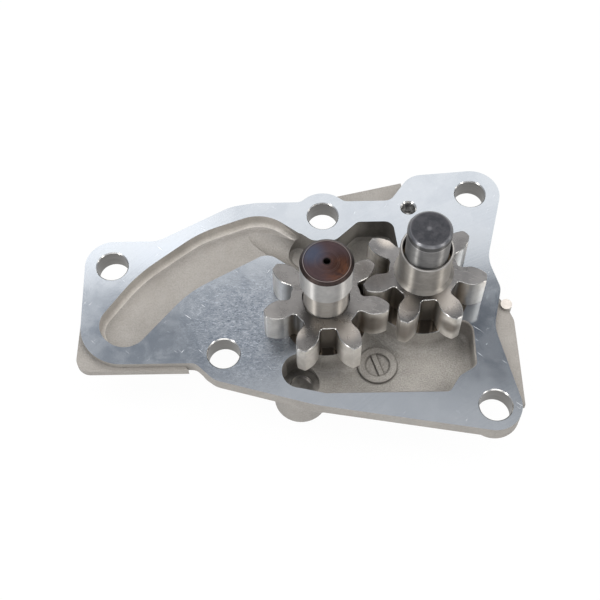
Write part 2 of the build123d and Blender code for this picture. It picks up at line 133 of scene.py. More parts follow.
def feed(tree, socket, value):
    """Links a socket to the value of another node, or sets it to a plain value."""
    if isinstance(value, bpy.types.NodeSocket):
        tree.links.new(value, socket)
    elif socket.type == "RGBA" and len(value) == 3:
        socket.default_value = (*value, 1.0)
    else:
        socket.default_value = value


def add(tree, kind, inputs=None, **settings):
    """A shader or geometry node with its settings, and its inputs set or linked."""
    node = tree.nodes.new(kind)
    for name, value in settings.items():
        setattr(node, name, value)
    for name, value in (inputs or {}).items():
        feed(tree, node.inputs[name], value)
    return node


def math_node(tree, operation, first, second=None, clamp=False):
    """The result of one step of arithmetic."""
    inputs = {0: first} if second is None else {0: first, 1: second}
    return add(tree, "ShaderNodeMath", inputs, operation=operation, use_clamp=clamp).outputs[0]


def times(tree, first, second):
    """The product of two values."""
    return math_node(tree, "MULTIPLY", first, second)


def spread(tree, value, low, high, to_low=0.0, to_high=1.0):
    """Maps a value softly from one range to another, and keeps it inside."""
    ends = {"From Min": low, "From Max": high, "To Min": to_low, "To Max": to_high}
    node = add(
        tree, "ShaderNodeMapRange", {"Value": value, **ends}, interpolation_type="SMOOTHSTEP"
    )
    return node.outputs["Result"]


def between(tree, value, rise, fall, strength=1.0):
    """A band of values: it rises from 0 over the first pair, and falls to 0 over the second."""
    return times(
        tree, spread(tree, value, *rise, 0.0, strength), spread(tree, value, *fall, 1.0, 0.0)
    )


def mix_colours(tree, factor, first, second):
    """The first colour where the factor is 0, and the second where it is 1."""
    return add(
        tree, "ShaderNodeMix", {0: factor, 6: first, 7: second}, data_type="RGBA"
    ).outputs[2]


def mix_values(tree, factor, first, second):
    """The first value where the factor is 0, and the second where it is 1."""
    return add(tree, "ShaderNodeMix", {0: factor, 2: first, 3: second}).outputs[0]


def laid_over(tree, colour, film, mask, strength):
    """A colour with a film of another colour over it, where the mask says."""
    return mix_colours(tree, times(tree, mask, strength), colour, film)


def noise(tree, vector, scale, detail, roughness=0.5, distortion=0.0):
    """Cloudy noise between 0 and 1."""
    clouds = {"Detail": detail, "Roughness": roughness, "Distortion": distortion}
    return add(
        tree, "ShaderNodeTexNoise", {"Vector": vector, "Scale": scale, **clouds}
    ).outputs["Fac"]


def placed(tree, vector, centre=(0, 0, 0), turn=(0, 0, 0), scale=(1, 1, 1)):
    """Coordinates moved to a centre first, then turned and stretched."""
    moved = add(
        tree, "ShaderNodeMapping", {"Vector": vector, "Location": [-c for c in centre]}
    ).outputs[0]
    return add(
        tree, "ShaderNodeMapping", {"Vector": moved, "Rotation": turn, "Scale": scale}
    ).outputs[0]


def length_of(tree, vector):
    """How long a vector is."""
    return add(tree, "ShaderNodeVectorMath", {0: vector}, operation="LENGTH").outputs["Value"]


def new_group(name, inputs, outputs):
    """An empty group with its sockets, and the sockets inside it that give and take."""
    group = bpy.data.node_groups.new(name, "ShaderNodeTree")
    for socket_name, kind, default in inputs:
        socket = group.interface.new_socket(socket_name, in_out="INPUT", socket_type=kind)
        if default is not None:
            socket.default_value = default
    for socket_name, kind in outputs:
        group.interface.new_socket(socket_name, in_out="OUTPUT", socket_type=kind)
    start = group.nodes.new("NodeGroupInput")
    end = group.nodes.new("NodeGroupOutput")
    return group, start.outputs, end.inputs


def use_group(tree, group, inputs):
    """The outputs of a group that is placed in a material."""
    return add(tree, "ShaderNodeGroup", inputs, node_tree=group).outputs


FLOAT, VECTOR = "NodeSocketFloat", "NodeSocketVector"


# ------------------------------------------------------------ shared effects


def cast_grain_group():
    """The grain that moulding sand leaves, with a soft unevenness under it."""
    group, given, out = new_group(
        "cast_grain",
        [("Vector", VECTOR, None), ("Scale", FLOAT, 1500.0)],
        [("Height", FLOAT), ("Shade", FLOAT)],
    )
    fine = noise(group, given["Vector"], given["Scale"], 3.0, 0.6)
    coarse = noise(group, given["Vector"], times(group, given["Scale"], 0.22), 2.0)
    height = mix_values(group, 0.35, fine, coarse)
    patches = noise(group, given["Vector"], times(group, given["Scale"], 0.035), 3.0, 0.6)
    shade = mix_values(group, 0.45, fine, patches)
    group.links.new(height, out["Height"])
    group.links.new(spread(group, shade, 0.3, 0.7), out["Shade"])
    return group


def scratches_group():
    """Sparse fine scratches in one direction."""
    group, given, out = new_group(
        "scratches",
        [
            ("Vector", VECTOR, None),
            ("Angle", FLOAT, 0.0),
            ("Scale", FLOAT, 120.0),
            ("Amount", FLOAT, 0.5),
        ],
        [("Mask", FLOAT)],
    )
    turned = add(
        group,
        "ShaderNodeVectorRotate",
        {"Vector": given["Vector"], "Angle": given["Angle"]},
        rotation_type="Z_AXIS",
    ).outputs[0]
    bent = times(group, noise(group, turned, 60.0, 1.0), 0.0016)
    sway = add(group, "ShaderNodeCombineXYZ", {"Y": bent}).outputs[0]
    swayed = add(group, "ShaderNodeVectorMath", {0: turned, 1: sway}, operation="ADD").outputs[0]
    stretched = add(
        group, "ShaderNodeVectorMath", {0: swayed, 1: (1.0, 22.0, 1.0)}, operation="MULTIPLY"
    ).outputs[0]
    lines = noise(group, stretched, given["Scale"], 1.0, 0.4)
    where = noise(group, given["Vector"], 55.0, 2.0)
    limit = math_node(group, "SUBTRACT", 0.87, times(group, given["Amount"], where))
    above = math_node(group, "SUBTRACT", lines, limit)
    group.links.new(math_node(group, "MULTIPLY", above, 14.0, clamp=True), out["Mask"])
    return group


def turned_rings_group():
    """Rings that a lathe tool leaves round the Z axis."""
    group, given, out = new_group(
        "turned_rings",
        [("Vector", VECTOR, None), ("Scale", FLOAT, 2500.0)],
        [("Rings", FLOAT), ("Radius", FLOAT)],
    )
    flat = add(
        group,
        "ShaderNodeVectorMath",
        {0: given["Vector"], 1: (1.0, 1.0, 0.0)},
        operation="MULTIPLY",
    )
    radius = length_of(group, flat.outputs[0])
    rings = add(
        group,
        "ShaderNodeTexNoise",
        {"W": radius, "Scale": given["Scale"], "Detail": 2.0},
        noise_dimensions="1D",
    )
    group.links.new(rings.outputs["Fac"], out["Rings"])
    group.links.new(radius, out["Radius"])
    return group


def stains_group():
    """Cloudy patches, as thin oil and handling leave on bare metal."""
    group, given, out = new_group(
        "stains", [("Vector", VECTOR, None), ("Scale", FLOAT, 60.0)], [("Mask", FLOAT)]
    )
    broad = noise(group, given["Vector"], given["Scale"], 4.0, 0.55, 0.6)
    small = noise(group, given["Vector"], times(group, given["Scale"], 4.0), 3.0, 0.6, 0.3)
    mask = spread(group, mix_values(group, 0.35, broad, small), 0.38, 0.62)
    group.links.new(mask, out["Mask"])
    return group


CAST_GRAIN = cast_grain_group()
SCRATCHES = scratches_group()
TURNED_RINGS = turned_rings_group()
STAINS = stains_group()


def scratches(tree, where, angle, scale, amount):
    """Mask of the scratches."""
    values = {"Vector": where, "Angle": angle, "Scale": scale, "Amount": amount}
    return use_group(tree, SCRATCHES, values)["Mask"]


def stains(tree, where, scale):
    """Mask of the stains."""
    return use_group(tree, STAINS, {"Vector": where, "Scale": scale})["Mask"]


# ----------------------------------------------------------------- materials


def new_material(name, metallic=1.0):
    """A material with its node tree, its shader and the piece's own coordinates."""
    material = bpy.data.materials.new(name)
    material.use_nodes = True
    tree = material.node_tree
    shader = tree.nodes["Principled BSDF"]
    shader.inputs["Metallic"].default_value = metallic
    where = tree.nodes.new("ShaderNodeTexCoord").outputs["Object"]
    return material, tree, shader, where


def bump(tree, shader, height, distance, strength):
    """A relief that the mesh doesn't carry."""
    relief = {"Height": height, "Distance": distance, "Strength": strength}
    tree.links.new(add(tree, "ShaderNodeBump", relief).outputs[0], shader.inputs["Normal"])


def near_point(tree, where, centre, radius, soft):
    """1 close to a point, falling to 0 over a soft edge."""
    far = length_of(tree, placed(tree, where, centre))
    return spread(tree, far, radius, radius + soft, 1.0, 0.0)


def ring_mask(tree, where, centre, inner, outer, soft):
    """1 in a ring round a point, falling to 0 on both sides."""
    far = length_of(tree, placed(tree, where, centre))
    return between(tree, far, (inner - soft, inner), (outer, outer + soft))


def machined_face_material():
    """Face-milled aluminium, oiled in places and scuffed beside the drive gear."""
    material, tree, shader, where = new_material("machined_face")
    stain = stains(tree, where, 45.0)
    colour = mix_colours(tree, stain, (0.182, 0.197, 0.217), (0.215, 0.230, 0.249))
    # Broad arcs of the milling cutter
    cutter = placed(tree, where, (0.16, -0.21, 0))
    arcs = use_group(tree, TURNED_RINGS, {"Vector": cutter, "Scale": 1400.0})["Rings"]
    colour = laid_over(tree, colour, (0.255, 0.267, 0.283), arcs, 0.25)
    # Oil blotches on the left and front-left of the face, over a broad painted shade that stands for the darker
    # reflection of that part
    blotches = spread(tree, noise(tree, where, 150.0, 5.0, 0.68, 0.4), 0.38, 0.62, 0.38, 0.72)
    for place, radius, soft in (
        ((-0.034, -0.002, 0), 0.008, 0.030),
        ((-0.074, -0.004, 0), 0.004, 0.020),
        ((-0.060, -0.015, 0), 0.008, 0.022),
    ):
        film = near_point(tree, where, place, radius, soft)
        colour = laid_over(tree, colour, (0.085, 0.098, 0.117), film, blotches)
    # Scuffs where the cover was handled, next to the drive gear
    scuffed = near_point(tree, where, (-0.027, -0.003, 0), 0.008, 0.021)
    brushed = placed(tree, where, scale=(1, 2.4, 1), turn=(0, 0, 0.5))
    flecks = noise(tree, brushed, 760.0, 4.0, 0.75, 1.4)
    light_fleck = times(tree, scuffed, spread(tree, flecks, 0.53, 0.62))
    dark_fleck = times(tree, scuffed, spread(tree, flecks, 0.47, 0.38))
    colour = laid_over(tree, colour, (0.275, 0.298, 0.338), light_fleck, 0.70)
    colour = laid_over(tree, colour, (0.055, 0.068, 0.090), dark_fleck, 0.9)
    marks = math_node(
        tree,
        "MAXIMUM",
        scratches(tree, where, 0.7, 150.0, 0.22),
        scratches(tree, where, -0.9, 210.0, 0.20),
    )
    colour = laid_over(tree, colour, (0.70, 0.71, 0.73), marks, 0.6)
    # The lands under the gears are painted dark and warm, as painted shade under the gears
    land = math_node(
        tree,
        "MAXIMUM",
        near_point(tree, where, (DRIVE_AXIS.x, DRIVE_AXIS.y, 0), DRIVE_LAND_REACH, 0.0003),
        near_point(tree, where, (DRIVEN_AXIS.x, DRIVEN_AXIS.y, 0), DRIVEN_LAND_REACH, 0.0003),
    )
    colour = mix_colours(tree, land, colour, (0.105, 0.090, 0.075))
    tree.links.new(colour, shader.inputs["Base Color"])
    rough = mix_values(tree, stain, 0.11, 0.16)
    rough = mix_values(tree, times(tree, scuffed, 0.7), rough, 0.40)
    tree.links.new(rough, shader.inputs["Roughness"])
    raised = math_node(tree, "ADD", times(tree, arcs, 0.4), times(tree, light_fleck, 0.5))
    bump(tree, shader, math_node(tree, "SUBTRACT", raised, marks), 0.00001, 0.6)
    return material


def cast_skin_material(name, relief, low, high, patches=()):
    """Bare skin of the casting, with the sand's grain between two colours.

    Each patch is a place, a radius, the width of its soft edge, a strength and a colour.
    """
    material, tree, shader, where = new_material(name, metallic=0.35)
    grain = use_group(tree, CAST_GRAIN, {"Vector": where, "Scale": 1900.0})
    stain = stains(tree, where, 40.0)
    colour = mix_colours(tree, grain["Shade"], low, high)
    colour = laid_over(tree, colour, (0.24, 0.222, 0.202), stain, 0.35)
    for place, radius, soft, strength, patch_colour in patches:
        patch = near_point(tree, where, place, radius, soft)
        colour = laid_over(tree, colour, patch_colour, patch, strength)
    # Painted shade in the corners of the cast dial
    for inner, outer in ((0.00685, 0.0070), (0.0041, 0.0043)):
        dial_corner_shade = ring_mask(tree, where, DIAL, inner, outer, 0.0005)
        colour = laid_over(tree, colour, (0.12, 0.11, 0.10), dial_corner_shade, 0.6)
    # and painted shadow along both sides of its bar, inside the dial's recess
    dial = placed(tree, where, DIAL, turn=(0, 0, DIAL_BAR_TURN))
    across = math_node(
        tree, "ABSOLUTE", add(tree, "ShaderNodeSeparateXYZ", {0: dial}).outputs["Y"]
    )
    bar_side_shade = between(tree, across, (0.0007, 0.0009), (0.0010, 0.0016))
    inside = spread(tree, length_of(tree, dial), 0.0042, 0.0045, 0.75, 0.0)
    colour = laid_over(tree, colour, (0.10, 0.09, 0.08), bar_side_shade, inside)
    tree.links.new(colour, shader.inputs["Base Color"])
    tree.links.new(mix_values(tree, grain["Shade"], 0.62, 0.48), shader.inputs["Roughness"])
    bump(tree, shader, grain["Height"], relief, 0.85)
    return material


def bored_wall_material():
    """Wall of a drilled hole, with the drill's rings round it."""
    material, tree, shader, where = new_material("bored_wall")
    rings = noise(tree, placed(tree, where, scale=(0.05, 0.05, 1.0)), 2600.0, 2.0, 0.6)
    colour = mix_colours(tree, rings, (0.12, 0.117, 0.112), (0.24, 0.234, 0.224))
    tree.links.new(colour, shader.inputs["Base Color"])
    shader.inputs["Roughness"].default_value = 0.38
    bump(tree, shader, rings, 0.00003, 0.6)
    return material


def highlight_edge_material(name, low, high):
    """A narrow chamfer, painted light as a highlight along the edge."""
    material, tree, shader, where = new_material(name)
    shade = noise(tree, where, 900.0, 2.0)
    tree.links.new(mix_colours(tree, shade, low, high), shader.inputs["Base Color"])
    shader.inputs["Roughness"].default_value = 0.25
    return material


def drawn_out(tree, shader):
    """Highlights drawn out along the Z axis, as fine grinding or turning marks do."""
    around = add(tree, "ShaderNodeTangent", direction_type="RADIAL", axis="Z")
    tree.links.new(around.outputs[0], shader.inputs["Tangent"])
    shader.inputs["Anisotropic"].default_value = 1.0
    shader.inputs["Anisotropic Rotation"].default_value = 0.25


def gear_face_material(name, low, high, highlight_spots, dark_spots):
    """Ground end of a gear, clouded by oil, with places painted bright as highlights and reflections, and places
    painted dark as shade and dark reflections of the shaft and hub.

    Each place is given by its middle and its radius in millimetres.
    """
    material, tree, shader, where = new_material(name)
    stain = stains(tree, where, 90.0)
    broad = noise(tree, placed(tree, where, (0.05, 0.02, 0)), 62.0, 2.0, 0.5, 0.7)
    grain = noise(tree, where, 2600.0, 3.0, 0.7)
    cloud = mix_values(tree, 0.6, stain, spread(tree, broad, 0.38, 0.64))
    colour = mix_colours(tree, cloud, low, high)
    # Painted highlights and reflections, then painted shade and dark reflections
    for places, spot_colour in ((highlight_spots, (0.400, 0.365, 0.330)), (dark_spots, (0.060, 0.054, 0.050))):
        for x, y, radius in places:
            middle = (x * MM, y * MM, GEAR_TOP)
            spot = near_point(tree, where, middle, 0.3 * radius * MM, radius * MM)
            colour = laid_over(tree, colour, spot_colour, spot, 0.8)
    light = tuple(1.5 * c for c in high)
    colour = laid_over(tree, colour, light, spread(tree, grain, 0.35, 0.65), 0.12)
    marks = scratches(tree, where, 0.4, 260.0, 0.36)
    colour = laid_over(tree, colour, (0.40, 0.39, 0.37), marks, 0.35)
    tree.links.new(colour, shader.inputs["Base Color"])
    tree.links.new(mix_values(tree, stain, 0.24, 0.34), shader.inputs["Roughness"])
    bump(tree, shader, grain, 0.00001, 0.6)
    return material


def gear_flank_material(name, centre, dark_spots):
    """Sides of the teeth, finished along the shaft's direction, with oil and painted shade in the spaces.

    The darker places are given by their middle and their radius in millimetres.
    """
    material, tree, shader, where = new_material(name, metallic=0.9)
    stain = stains(tree, where, 110.0)
    lines = noise(tree, placed(tree, where, scale=(1, 1, 0.06)), 3200.0, 2.0, 0.6)
    colour = mix_colours(tree, lines, (0.80, 0.77, 0.725), (0.98, 0.955, 0.915))
    colour = laid_over(tree, colour, (0.34, 0.31, 0.27), stain, 0.3)
    reach = use_group(tree, TURNED_RINGS, {"Vector": placed(tree, where, centre)})["Radius"]
    # Darker towards the roots: brown oil and painted shade in the tooth spaces
    oil = spread(tree, reach, 0.0125, 0.0160, 1.0, 0.0)
    colour = laid_over(tree, colour, (0.115, 0.095, 0.075), oil, 0.85)
    for x, y, radius in dark_spots:
        middle = (x * MM, y * MM, GEAR_TOP / 2)
        spot = near_point(tree, where, middle, 0.6 * radius * MM, radius * MM)
        colour = laid_over(tree, colour, (0.125, 0.100, 0.080), spot, 0.75)
    # The outer part of a tooth is dry and dull
    dull = spread(tree, reach, 0.0165, 0.0190)
    tree.links.new(colour, shader.inputs["Base Color"])
    tree.links.new(mix_values(tree, dull, 0.92, 0.68), shader.inputs["Metallic"])
    tree.links.new(mix_values(tree, lines, 0.27, 0.37), shader.inputs["Roughness"])
    bump(tree, shader, lines, 0.000004, 0.3)
    return material


def ground_round_material(name, centre, low, high, rough, metallic=1.0, bands=()):
    """A ground or turned cylinder, with fine rings round its axis.

    Each band round it is its lower and its upper height, a strength and a colour.
    """
    material, tree, shader, where = new_material(name, metallic=metallic)
    drawn_out(tree, shader)
    rings = noise(tree, placed(tree, where, centre, scale=(0.04, 0.04, 1.0)), 5200.0, 2.0, 0.6)
    stain = stains(tree, where, 120.0)
    colour = mix_colours(tree, rings, low, high)
    colour = laid_over(tree, colour, tuple(c * 0.6 for c in low), stain, 0.25)
    height = add(tree, "ShaderNodeSeparateXYZ", {0: where}).outputs["Z"]
    soft = 0.0001
    for foot, head, strength, band_colour in bands:
        band = between(
            tree, height, (foot - soft, foot + soft), (head - soft, head + soft), strength
        )
        colour = mix_colours(tree, band, colour, band_colour)
    tree.links.new(colour, shader.inputs["Base Color"])
    tree.links.new(mix_values(tree, stain, rough, rough + 0.1), shader.inputs["Roughness"])
    bump(tree, shader, rings, 0.000008, 0.5)
    return material


def shaft_end_material():
    """End of the drive shaft: turned rings under a heat-tinted oxide, with a centre mark."""
    material, tree, shader, where = new_material("shaft_end")
    face = use_group(tree, TURNED_RINGS, {"Vector": where, "Scale": 3800.0})
    cloud = noise(tree, where, 260.0, 4.0, 0.6, 0.8)
    # Brown on the right, blue on the left and a touch of rust at the front
    spot_blue = near_point(tree, where, (-0.0050, 0.0032, SHAFT_TOP), 0.0010, 0.0055)
    spot_brown = near_point(tree, where, (0.0048, -0.0018, SHAFT_TOP), 0.0012, 0.0062)
    colour = mix_colours(tree, cloud, (0.028, 0.020, 0.022), (0.046, 0.030, 0.032))
    colour = mix_colours(tree, spot_brown, colour, (0.020, 0.011, 0.009))
    blue = mix_colours(tree, cloud, (0.028, 0.034, 0.052), (0.042, 0.048, 0.070))
    colour = laid_over(tree, colour, blue, spot_blue, 0.95)
    spot_rust = near_point(tree, where, (0.0040, -0.0038, SHAFT_TOP), 0.0022, 0.0052)
    rust = spread(tree, cloud, 0.42, 0.62, 0.1, 0.6)
    colour = laid_over(tree, colour, (0.072, 0.031, 0.018), spot_rust, rust)
    ridges = spread(tree, face["Rings"], 0.55, 0.75, 0.0, 0.35)
    colour = mix_colours(tree, ridges, colour, (0.085, 0.062, 0.058))
    # A fine turned groove near the rim, painted as a dark ring of shade, with a painted highlight on the lip
    # outside it
    groove = between(tree, face["Radius"], (0.00722, 0.00738), (0.00742, 0.00756))
    lip = between(tree, face["Radius"], (0.00750, 0.00760), (0.00766, 0.00778))
    colour = laid_over(tree, colour, (0.006, 0.005, 0.005), groove, 0.85)
    colour = laid_over(tree, colour, (0.19, 0.17, 0.16), lip, 0.7)
    # The centre mark is painted almost black, as painted shade in its hollow
    mark = spread(tree, face["Radius"], 0.0011, 0.0016, 1.0, 0.0)
    colour = mix_colours(tree, mark, colour, (0.012, 0.010, 0.010))
    tree.links.new(colour, shader.inputs["Base Color"])
    tree.links.new(mix_values(tree, cloud, 0.26, 0.40), shader.inputs["Roughness"])
    bump(tree, shader, face["Rings"], 0.00003, 0.8)
    return material


def pin_end_material():
    """End of the fixed pin: dark oxide with a small dent in its middle and a rim painted paler as a highlight."""
    material, tree, shader, where = new_material("pin_end")
    here = placed(tree, where, (DRIVEN_AXIS.x, DRIVEN_AXIS.y, 0))
    face = use_group(tree, TURNED_RINGS, {"Vector": here, "Scale": 1500.0})
    cloud = noise(tree, here, 420.0, 5.0, 0.7, 0.4)
    oxide = spread(tree, cloud, 0.35, 0.65)
    colour = mix_colours(tree, oxide, (0.030, 0.031, 0.035), (0.048, 0.048, 0.053))
    middle = (DRIVEN_AXIS.x - 0.0004, DRIVEN_AXIS.y + 0.0002, PIN_TOP)
    dent = near_point(tree, where, middle, 0.0003, 0.0009)
    colour = laid_over(tree, colour, (0.16, 0.16, 0.17), dent, 0.4)
    # The rim is painted paler, as a painted highlight
    rim = spread(tree, face["Radius"], 0.0060, 0.0067)
    colour = laid_over(tree, colour, (0.16, 0.16, 0.17), rim, 0.5)
    tree.links.new(colour, shader.inputs["Base Color"])
    tree.links.new(mix_values(tree, cloud, 0.30, 0.46), shader.inputs["Roughness"])
    raised = math_node(tree, "ADD", cloud, face["Rings"])
    bump(tree, shader, math_node(tree, "SUBTRACT", raised, dent), 0.00004, 0.7)
    return material


def plain_metal_material(name, low, high, rough, scale=700.0):
    """Metal with a faint cloud between two colours."""
    material, tree, shader, where = new_material(name)
    cloud = noise(tree, where, scale, 3.0, 0.6)
    tree.links.new(mix_colours(tree, cloud, low, high), shader.inputs["Base Color"])
    tree.links.new(mix_values(tree, cloud, rough, rough + 0.12), shader.inputs["Roughness"])
    bump(tree, shader, cloud, 0.00001, 0.5)
    return material


# The casting
FACE = machined_face_material()
CAST = cast_skin_material("cast_skin", 0.00036, (0.240, 0.227, 0.211), (0.318, 0.303, 0.285))
# The cavity's skin is painted lighter than the other cast skin, as painted light against the shade of its walls
# and the gears; its first patch is painted shade on the cavity's right end wall, and its second painted shade in
# the corner by the valve port
LIT_CAVITY_CAST = cast_skin_material(
    "lit_cavity_skin",
    0.00060,
    (0.255, 0.243, 0.226),
    (0.470, 0.450, 0.422),
    patches=[
        ((0.0497, -0.0049, -0.004), 0.0040, 0.0070, 0.75, (0.120, 0.110, 0.100)),
        ((-0.0139, -0.016, -0.008), 0.0030, 0.0060, 0.80, (0.080, 0.072, 0.064)),
    ],
)
# The walls that face the channel are painted lighter, as a painted highlight
LIT_CHANNEL_WALL = cast_skin_material(
    "lit_channel_wall_skin", 0.00025, (0.430, 0.404, 0.374), (0.560, 0.530, 0.492)
)
# The pocket between the shaft and the gears is painted dark as their shade, with a painted highlight on the
# rounded upper edge of its rear-left wall
SHADED_POCKET_CAST = cast_skin_material(
    "shaded_pocket_skin",
    0.00030,
    (0.085, 0.080, 0.072),
    (0.150, 0.142, 0.130),
    patches=[((0.0085, 0.0375, -0.004), 0.0030, 0.0065, 1.0, (0.44, 0.42, 0.39))],
)
BORED = bored_wall_material()
# The chamfers round the bolt and jacking holes carry painted highlights
EDGE = highlight_edge_material("painted_highlight_edge", (0.46, 0.45, 0.435), (0.66, 0.65, 0.63))
PORT_WALL = plain_metal_material(
    "port_wall", (0.05, 0.042, 0.035), (0.22, 0.19, 0.165), 0.3, scale=420.0
)
LUG_FACE = plain_metal_material("ground_spot", (0.36, 0.33, 0.30), (0.62, 0.58, 0.54), 0.35)
THREAD = plain_metal_material("thread", (0.18, 0.176, 0.17), (0.34, 0.333, 0.322), 0.38)

# The gears
DRIVE_FACE = gear_face_material(
    "drive_gear_face",
    (0.105, 0.101, 0.099),
    (0.165, 0.159, 0.155),
    highlight_spots=[(6.4, -12.0, 5.0), (-0.8, -10.6, 4.5), (-9.5, -12.5, 3.0)],
    dark_spots=[(12.5, 11.0, 5.0)],
)
DRIVEN_FACE = gear_face_material(
    "driven_gear_face",
    (0.085, 0.083, 0.084),
    (0.150, 0.146, 0.144),
    highlight_spots=[(26.4, -3.0, 5.0), (39.5, -1.2, 6.0), (22.0, 23.0, 4.0)],
    dark_spots=[(33.5, 0.8, 3.5), (17.5, 8.6, 7.0)],
)
DRIVE_FLANK = gear_flank_material("drive_gear_flank", DRIVE_AXIS, [(15.5, -6.0, 5.0)])
DRIVEN_FLANK = gear_flank_material(
    "driven_gear_flank", DRIVEN_AXIS, [(26.0, -12.0, 6.0), (41.0, -8.5, 3.0)]
)
# The gears' top chamfers carry painted highlights
GEAR_EDGE_HIGHLIGHT = highlight_edge_material("gear_edge_highlight", (0.24, 0.235, 0.225), (0.50, 0.49, 0.47))
# The bore walls in the gaps round the shaft and the pin are painted almost black, as painted shade
GAP_SHADE = plain_metal_material(
    "shaded_gap", (0.015, 0.012, 0.010), (0.05, 0.038, 0.028), 0.35
)
HUB_SIDE = ground_round_material(
    "hub_side", DRIVEN_AXIS, (0.245, 0.228, 0.205), (0.375, 0.352, 0.322), 0.42
)
HUB_RIM = plain_metal_material("hub_rim", (0.26, 0.25, 0.235), (0.38, 0.365, 0.35), 0.35)

# The drive shaft and the fixed pin
SHAFT_END = shaft_end_material()
JOURNAL = ground_round_material(
    "journal_ground", DRIVE_AXIS, (0.375, 0.365, 0.352), (0.50, 0.49, 0.476), 0.42, 0.95
)
NECK = ground_round_material(
    "shaft_neck", DRIVE_AXIS, (0.29, 0.268, 0.242), (0.42, 0.392, 0.356), 0.44, 0.95
)
DARK_CHAMFER = plain_metal_material(
    "dark_chamfer", (0.020, 0.015, 0.014), (0.060, 0.046, 0.042), 0.36
)
PIN_END = pin_end_material()
PIN_SIDE = ground_round_material(
    "pin_side",
    DRIVEN_AXIS,
    (0.155, 0.152, 0.149),
    (0.28, 0.273, 0.265),
    0.44,
    bands=[
        (PIN_TOP - 0.0027, PIN_TOP, 0.75, (0.075, 0.074, 0.074)),
        # Under the darker band, a thin light line painted as the highlight of a step round the pin
        (PIN_TOP - 0.0030, PIN_TOP - 0.0027, 0.6, (0.46, 0.45, 0.44)),
    ],
)
PIN_CHAMFER = plain_metal_material(
    "pin_chamfer", (0.10, 0.10, 0.105), (0.24, 0.24, 0.25), 0.25
)

# The pieces inside
BUSH = plain_metal_material("bearing_bush", (0.10, 0.075, 0.05), (0.20, 0.15, 0.10), 0.3)
VALVE = plain_metal_material("valve_steel", (0.16, 0.15, 0.14), (0.42, 0.40, 0.38), 0.25)
SPRING = plain_metal_material("spring_wire", (0.10, 0.10, 0.11), (0.20, 0.20, 0.21), 0.3)
PLUG = plain_metal_material("turned_plug", (0.30, 0.30, 0.30), (0.46, 0.46, 0.45), 0.3)


# ------------------------------------------------ which finish each face gets


def distance_to(point, axis):
    """How far a point is from an upright axis."""
    return hypot(point.x - axis.x, point.y - axis.y)


def in_box(point, box):
    """True for a point inside a box that is given by its two corners."""
    return all(low < value < high for value, low, high in zip(point, *box))


def over_channel(point):
    """True over the suction channel, which lies between its slanting front wall and its rear."""
    front_wall = 0.55 * (point.x - CHANNEL_LEFT) - 0.016
    return CHANNEL_LEFT < point.x < CHANNEL_MOUTH and front_wall < point.y < CHANNEL_BACK


def on_channel_wall(centre, normal):
    """True on the channel's walls, which face the channel, and not on the flange's outer edge."""
    return (
        centre.x < CHANNEL_WALL_END
        and centre.y > CHANNEL_FRONT
        and CHANNEL_WALL_FOOT < centre.z < CHANNEL_WALL_TOP
        and normal.z < 0.9
        and normal.y < 0.35
        and over_channel(centre + 0.006 * normal)
    )


def cover_finish(centre, normal):
    """Finish of the casting's faces."""
    if centre.z > -0.00001 and normal.z > 0.99:
        return FACE
    near_hole = min(distance_to(centre, hole) for hole in BOLT_HOLES)
    if near_hole < BOLT_HOLE_RADIUS * 1.01 and centre.z > BOLT_HOLE_FOOT:
        return BORED
    if near_hole < BOLT_HOLE_RADIUS * 1.08 and centre.z > -BOLT_HOLE_CHAMFER_DEPTH:
        return EDGE
    if distance_to(centre, JACK_HOLE) < JACK_HOLE_REACH:
        return EDGE if centre.z > -JACK_HOLE_CHAMFER_DEPTH else BORED
    if distance_to(centre, VALVE_PORT) < VALVE_PORT_REACH and centre.z < VALVE_PORT_TOP:
        return PORT_WALL
    if distance_to(centre, LUG_SPOT) < LUG_SPOT_REACH and normal.z > 0.9:
        return LUG_FACE
    if distance_to(centre, DRIVE_AXIS) < SHAFT_BORE_REACH:
        return BORED
    if distance_to(centre, DRIVEN_AXIS) < PIN_BORE_REACH:
        return BORED
    if in_box(centre, POCKET_BOX):
        return SHADED_POCKET_CAST
    # The casting's outside walls at the front and at the left come into the cavity's box
    outside = (centre.y < -0.016 and normal.y < -0.2) or (centre.x < -0.010 and normal.x < -0.2)
    if in_box(centre, CAVITY_BOX) and not outside:
        return LIT_CAVITY_CAST
    if near_hole > BOLT_BOSS_REACH and on_channel_wall(centre, normal):
        return LIT_CHANNEL_WALL
    return CAST


def gear_finish(centre, normal, end_face, flank):
    """Finish of a gear's faces outside its bore and hub."""
    if 0.3 < normal.z < 0.95 and GEAR_TOP - GEAR_CHAMFER_DEPTH < centre.z < GEAR_TOP:
        return GEAR_EDGE_HIGHLIGHT
    return end_face if abs(normal.z) > 0.9 else flank


def drive_gear_finish(centre, normal):
    """Finish of the drive gear's faces."""
    if distance_to(centre, DRIVE_AXIS) < DRIVE_GEAR_BORE_REACH and abs(normal.z) < 0.9:
        return GAP_SHADE
    return gear_finish(centre, normal, DRIVE_FACE, DRIVE_FLANK)


def driven_gear_finish(centre, normal):
    """Finish of the driven gear's faces, with those of its hub."""
    reach = distance_to(centre, DRIVEN_AXIS)
    if centre.z > HUB_TOP - GEAR_CHAMFER_DEPTH:
        return HUB_RIM
    if reach < DRIVEN_GEAR_BORE_REACH and abs(normal.z) < 0.9:
        return GAP_SHADE
    if centre.z > HUB_FOOT and reach < HUB_REACH:
        return HUB_SIDE
    return gear_finish(centre, normal, DRIVEN_FACE, DRIVEN_FLANK)


